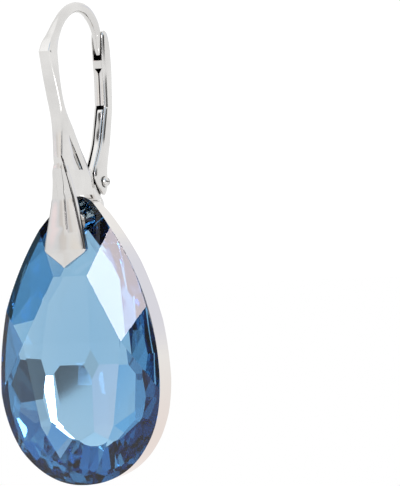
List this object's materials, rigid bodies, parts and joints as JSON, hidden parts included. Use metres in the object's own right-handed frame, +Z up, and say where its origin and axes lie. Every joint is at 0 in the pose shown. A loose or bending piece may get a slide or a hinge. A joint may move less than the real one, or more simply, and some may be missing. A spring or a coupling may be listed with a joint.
{
  "type": "teardrop leverback earring",
  "caption": "Leverback drop earring: a forked silver ear hook with a ridged spade prong holds a pear-shaped faceted blue crystal on a pin.",
  "frame": {"origin": "centre of the ear wire at the top of its arch, where the earring hangs", "axes": "+Z up, -Y out of the crystal's face, +Y to the lever at the back of the hook, +X across the crystal"},
  "size_m": [0.0132, 0.0099, 0.0357],
  "materials": {
    "silver": "polished rhodium-plated silver",
    "crystal": "polished light sapphire cut crystal with a mirror-silvered rim and back"
  },
  "bodies": {
    "hook": {"ear_hook": "silver", "bail_pin": "silver"},
    "lever_clasp": {"lever": "silver", "hinge_rivet": "silver"},
    "drop": {"crystal": "crystal"}
  },
  "joints": [
    {"name": "lever_hinge", "type": "hinge", "parent": "hook", "child": "lever_clasp", "pos_m": [0, 0.00227, -0.01295], "axis": [-1, 0, 0], "range_deg": [0, 60]},
    {"name": "crystal_swing", "type": "hinge", "parent": "hook", "child": "drop", "pos_m": [0, -0.0007, -0.01605], "axis": [0, 1, 0], "range_deg": [-20, 20]}
  ]
}
